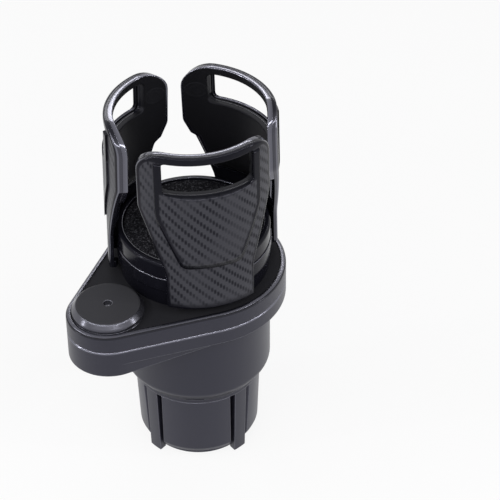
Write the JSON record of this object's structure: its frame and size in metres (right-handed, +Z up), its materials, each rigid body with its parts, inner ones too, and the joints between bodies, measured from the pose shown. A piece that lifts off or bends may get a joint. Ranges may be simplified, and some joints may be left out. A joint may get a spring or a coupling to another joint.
{
  "type": "cup holder expander",
  "caption": "Car cup holder expander: an expanding foot and lower cup carry a swinging arm whose turning tray opens tall windowed petals around a bottle.",
  "frame": {"origin": "on the axis of the lower cup, at the bottom of the foot's posts", "axes": "+Z up along the cup's axis, -X towards the arm's pivot, +Y to the side"},
  "size_m": [0.1405, 0.104, 0.2263],
  "materials": {
    "gloss_black": "glossy injection-moulded ABS",
    "satin_black": "satin moulded ABS",
    "carbon_look": "printed twill weave under a satin lacquer",
    "foam": "fine-grained foam",
    "steel": "zinc-plated steel",
    "acetal": "natural acetal"
  },
  "bodies": {
    "base": {"base_cup": "satin_black", "foot_cover": "satin_black", "foot_cover_screws": "steel", "lower_pad": "foam", "pivot_bush": "acetal", "slide_washer": "acetal", "pivot_washer": "steel", "pivot_screw": "steel"},
    "dial": {"foot_dial": "satin_black", "foot_cam": "acetal"},
    "arm": {"arm_top": "gloss_black", "arm_bottom": "satin_black", "arm_screws": "steel", "platform_base": "gloss_black", "platform_screws": "steel", "pivot_cap": "gloss_black", "tray_washer": "steel", "tray_screw": "steel"},
    "tray": {"tray_ring": "gloss_black", "scroll_disc": "acetal", "tray_pad": "foam"},
    "wing_1": {"foot_wing_1": "satin_black"},
    "wing_2": {"foot_wing_2": "satin_black"},
    "wing_3": {"foot_wing_3": "satin_black"},
    "wing_4": {"foot_wing_4": "satin_black"},
    "petal_1": {"petal_shell_1": "gloss_black", "petal_liner_1": "satin_black", "petal_trim_1": "carbon_look"},
    "petal_2": {"petal_shell_2": "gloss_black", "petal_liner_2": "satin_black", "petal_trim_2": "carbon_look"},
    "petal_3": {"petal_shell_3": "gloss_black", "petal_liner_3": "satin_black", "petal_trim_3": "carbon_look"}
  },
  "joints": [
    {"name": "arm_swivel", "type": "hinge", "parent": "base", "child": "arm", "pos_m": [-0.065, 0, 0.112], "axis": [0, 0, 1], "continuous": true},
    {"name": "tray_turn", "type": "hinge", "parent": "arm", "child": "tray", "pos_m": [0, 0, 0.133], "axis": [0, 0, 1], "range_deg": [0, 100]},
    {"name": "dial_turn", "type": "hinge", "parent": "base", "child": "dial", "pos_m": [0, 0, 0.003], "axis": [0, 0, 1], "range_deg": [0, 75]},
    {"name": "petal_1_slide", "type": "slide", "parent": "arm", "child": "petal_1", "axis": [1, 0, 0], "range_m": [0, 0.008]},
    {"name": "petal_2_slide", "type": "slide", "parent": "arm", "child": "petal_2", "axis": [-0.5, 0.866, 0], "range_m": [0, 0.008]},
    {"name": "petal_3_slide", "type": "slide", "parent": "arm", "child": "petal_3", "axis": [-0.5, -0.866, 0], "range_m": [0, 0.008]},
    {"name": "wing_1_slide", "type": "slide", "parent": "base", "child": "wing_1", "axis": [0.7071, 0.7071, 0], "range_m": [0, 0.006]},
    {"name": "wing_2_slide", "type": "slide", "parent": "base", "child": "wing_2", "axis": [-0.7071, 0.7071, 0], "range_m": [0, 0.006]},
    {"name": "wing_3_slide", "type": "slide", "parent": "base", "child": "wing_3", "axis": [-0.7071, -0.7071, 0], "range_m": [0, 0.006]},
    {"name": "wing_4_slide", "type": "slide", "parent": "base", "child": "wing_4", "axis": [0.7071, -0.7071, 0], "range_m": [0, 0.006]}
  ],
  "couplings": [
    {"joint": "petal_1_slide", "follows": "tray_turn", "m_per_rad": 0.00458},
    {"joint": "petal_2_slide", "follows": "tray_turn", "m_per_rad": 0.00458},
    {"joint": "petal_3_slide", "follows": "tray_turn", "m_per_rad": 0.00458},
    {"joint": "wing_1_slide", "follows": "dial_turn", "m_per_rad": 0.00458},
    {"joint": "wing_2_slide", "follows": "dial_turn", "m_per_rad": 0.00458},
    {"joint": "wing_3_slide", "follows": "dial_turn", "m_per_rad": 0.00458},
    {"joint": "wing_4_slide", "follows": "dial_turn", "m_per_rad": 0.00458}
  ]
}
